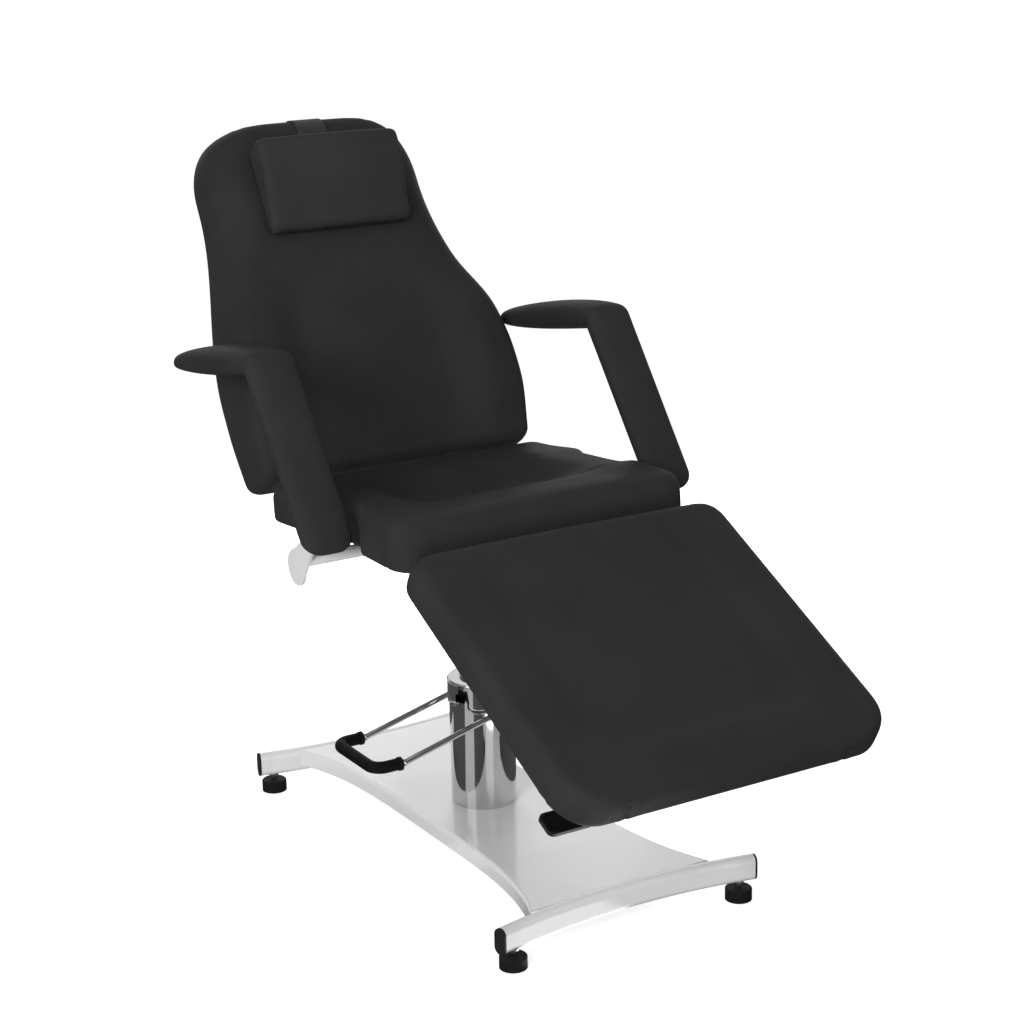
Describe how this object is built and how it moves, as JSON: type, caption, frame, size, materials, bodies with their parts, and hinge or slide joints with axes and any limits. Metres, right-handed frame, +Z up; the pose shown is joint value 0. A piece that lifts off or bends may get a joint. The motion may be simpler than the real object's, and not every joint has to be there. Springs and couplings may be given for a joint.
{
  "type": "hydraulic examination chair",
  "caption": "Upholstered examination and treatment chair on a foot-pumped hydraulic column, with a reclining winged back, tilting leg rest, folding armrests and a head cushion.",
  "frame": {"origin": "on the floor, midway between the four levelling feet", "axes": "+X towards the foot end, +Y to the occupant's left, +Z up"},
  "size_m": [1.5122, 0.8, 1.2836],
  "materials": {
    "enamel": "satin white enamel",
    "chrome": "polished chrome",
    "steel": "bare machined steel",
    "leatherette": "charcoal leatherette, fine grain",
    "strap_elastic": "woven elastic",
    "rubber": "black rubber",
    "black_plastic": "black moulded plastic",
    "plywood": "bare plywood",
    "black_paint": "black painted cylinder"
  },
  "bodies": {
    "base": {"foot_bar_front": "enamel", "foot_bar_rear": "enamel", "bar_end_caps": "black_plastic", "foot_pads": "rubber", "foot_studs": "chrome", "base_plate": "enamel", "pump_flange": "steel", "pump_bolts": "steel", "pump_cylinder": "steel", "valve_block": "steel", "column_cover": "chrome", "pump_cap": "chrome", "pedal_pivots": "chrome"},
    "pedal": {"pedal_fork": "chrome", "pedal_grip": "rubber"},
    "plunger": {"pump_plunger": "chrome"},
    "turntable": {"ram_bush": "steel"},
    "seat": {"lift_ram": "chrome", "seat_hub": "steel", "hub_bolts": "steel", "seat_rails": "enamel", "seat_cross_tubes": "enamel", "back_hinge_lugs": "enamel", "leg_hinge_lugs": "enamel", "seat_board": "plywood", "seat_cushion": "leatherette", "strut_mounts": "enamel", "back_strut_cylinder": "black_paint", "leg_strut_cylinder": "black_paint"},
    "back_rod": {"back_strut_rod": "chrome"},
    "leg_rod": {"leg_strut_rod": "chrome"},
    "back": {"back_uprights": "enamel", "back_cross_tubes": "enamel", "back_crank": "enamel", "back_board": "plywood", "back_cushion": "leatherette", "pillow_strap": "strap_elastic", "back_release_bracket": "enamel"},
    "head": {"head_pillow": "leatherette"},
    "back_release": {"back_release_paddle": "black_plastic"},
    "leg": {"leg_side_tubes": "enamel", "leg_cross_tubes": "enamel", "leg_crank": "enamel", "leg_board": "plywood", "leg_cushion": "leatherette", "leg_release_bracket": "enamel"},
    "leg_release": {"leg_release_paddle": "black_plastic"},
    "right_arm": {"right_arm_bracket": "enamel", "right_arm_pad": "leatherette"},
    "left_arm": {"left_arm_bracket": "enamel", "left_arm_pad": "leatherette"}
  },
  "joints": [
    {"name": "seat_swivel", "type": "hinge", "parent": "base", "child": "turntable", "pos_m": [-0.028, 0, 0.32], "axis": [0, 0, 1], "continuous": true},
    {"name": "seat_lift", "type": "slide", "parent": "turntable", "child": "seat", "axis": [0, 0, 1], "range_m": [-0.15, 0]},
    {"name": "back_recline", "type": "hinge", "parent": "seat", "child": "back", "pos_m": [-0.30985, 0, 0.62523], "axis": [0, 1, 0], "range_deg": [-60, 12]},
    {"name": "back_strut_slide", "type": "slide", "parent": "seat", "child": "back_rod", "axis": [-0.9971, 0, -0.0767], "range_m": [-0.0905, 0.0185]},
    {"name": "leg_tilt", "type": "hinge", "parent": "seat", "child": "leg", "pos_m": [0.24221, 0, 0.61956], "axis": [0, 1, 0], "range_deg": [-27.5, 22.5]},
    {"name": "leg_strut_slide", "type": "slide", "parent": "seat", "child": "leg_rod", "axis": [-0.9971, 0, -0.0767], "range_m": [-0.0265, 0.0215]},
    {"name": "right_arm_fold", "type": "hinge", "parent": "seat", "child": "right_arm", "pos_m": [-0.01768, -0.353, 0.60809], "axis": [0, 1, 0], "range_deg": [-60, 0]},
    {"name": "left_arm_fold", "type": "hinge", "parent": "seat", "child": "left_arm", "pos_m": [-0.01768, 0.353, 0.60809], "axis": [0, 1, 0], "range_deg": [-60, 0]},
    {"name": "pillow_slide", "type": "slide", "parent": "back", "child": "head", "axis": [-0.5, 0, 0.866], "range_m": [-0.04, 0.02]},
    {"name": "back_release", "type": "hinge", "parent": "back", "child": "back_release", "pos_m": [-0.42442, 0.156, 0.55966], "axis": [-0.5, 0, 0.866], "range_deg": [0, 14]},
    {"name": "leg_release", "type": "hinge", "parent": "leg", "child": "leg_release", "pos_m": [0.64875, -0.1715, 0.34367], "axis": [-0.887, 0, 0.4617], "range_deg": [0, 18]},
    {"name": "pedal_press", "type": "hinge", "parent": "base", "child": "pedal", "pos_m": [-0.028, 0, 0.262], "axis": [1, 0, 0], "range_deg": [0, 25]},
    {"name": "plunger_press", "type": "slide", "parent": "base", "child": "plunger", "axis": [0, 0, -1], "range_m": [0, 0.025]}
  ],
  "couplings": [
    {"joint": "back_strut_slide", "follows": "back_recline", "m_per_rad": 0.08564},
    {"joint": "leg_strut_slide", "follows": "leg_tilt", "m_per_rad": 0.0537},
    {"joint": "plunger_press", "follows": "pedal_press", "m_per_rad": 0.0562}
  ]
}
